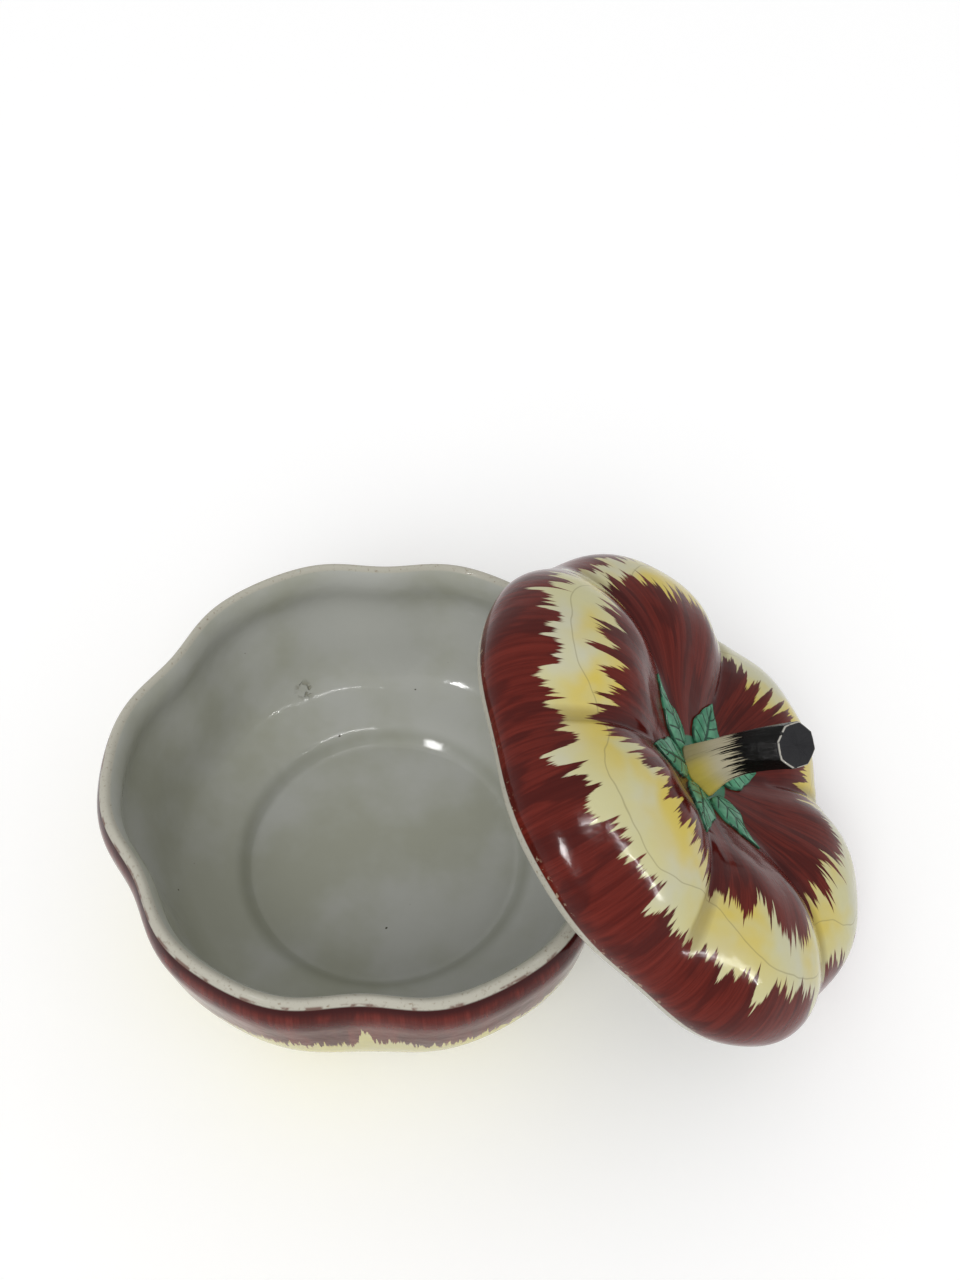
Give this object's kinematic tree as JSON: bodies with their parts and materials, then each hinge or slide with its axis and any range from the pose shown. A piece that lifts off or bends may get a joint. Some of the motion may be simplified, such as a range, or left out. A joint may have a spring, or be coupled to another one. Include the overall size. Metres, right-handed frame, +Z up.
{
  "type": "lidded tureen",
  "caption": "Glazed earthenware tureen in a lobed tomato form, with its domed lid taken off and leaning on the bowl; the bent stem in a leafy calyx is the lid's handle.",
  "frame": {"origin": "middle of the bowl's foot ring, on the table", "axes": "+Z up out of the bowl, +X towards the side where the lid leans, +Y to the back"},
  "size_m": [0.3295, 0.2279, 0.1692],
  "materials": {
    "bowl_glaze": "gloss",
    "lid_glaze": "gloss",
    "stem_glaze": "gloss",
    "leaf_glaze": "gloss"
  },
  "bodies": {
    "bowl": {"bowl": "bowl_glaze"},
    "lid": {"lid_shell": "lid_glaze", "stem_handle": "stem_glaze", "calyx_leaf_1": "leaf_glaze", "calyx_leaf_2": "leaf_glaze", "calyx_leaf_3": "leaf_glaze", "calyx_leaf_4": "leaf_glaze", "calyx_leaf_5": "leaf_glaze", "calyx_leaf_6": "leaf_glaze"}
  },
  "joints": [
    {"name": "lid_lift", "type": "slide", "parent": "bowl", "child": "lid", "axis": [0.7124, 0.0686, 0.6984], "range_m": [0, 0.15]}
  ]
}
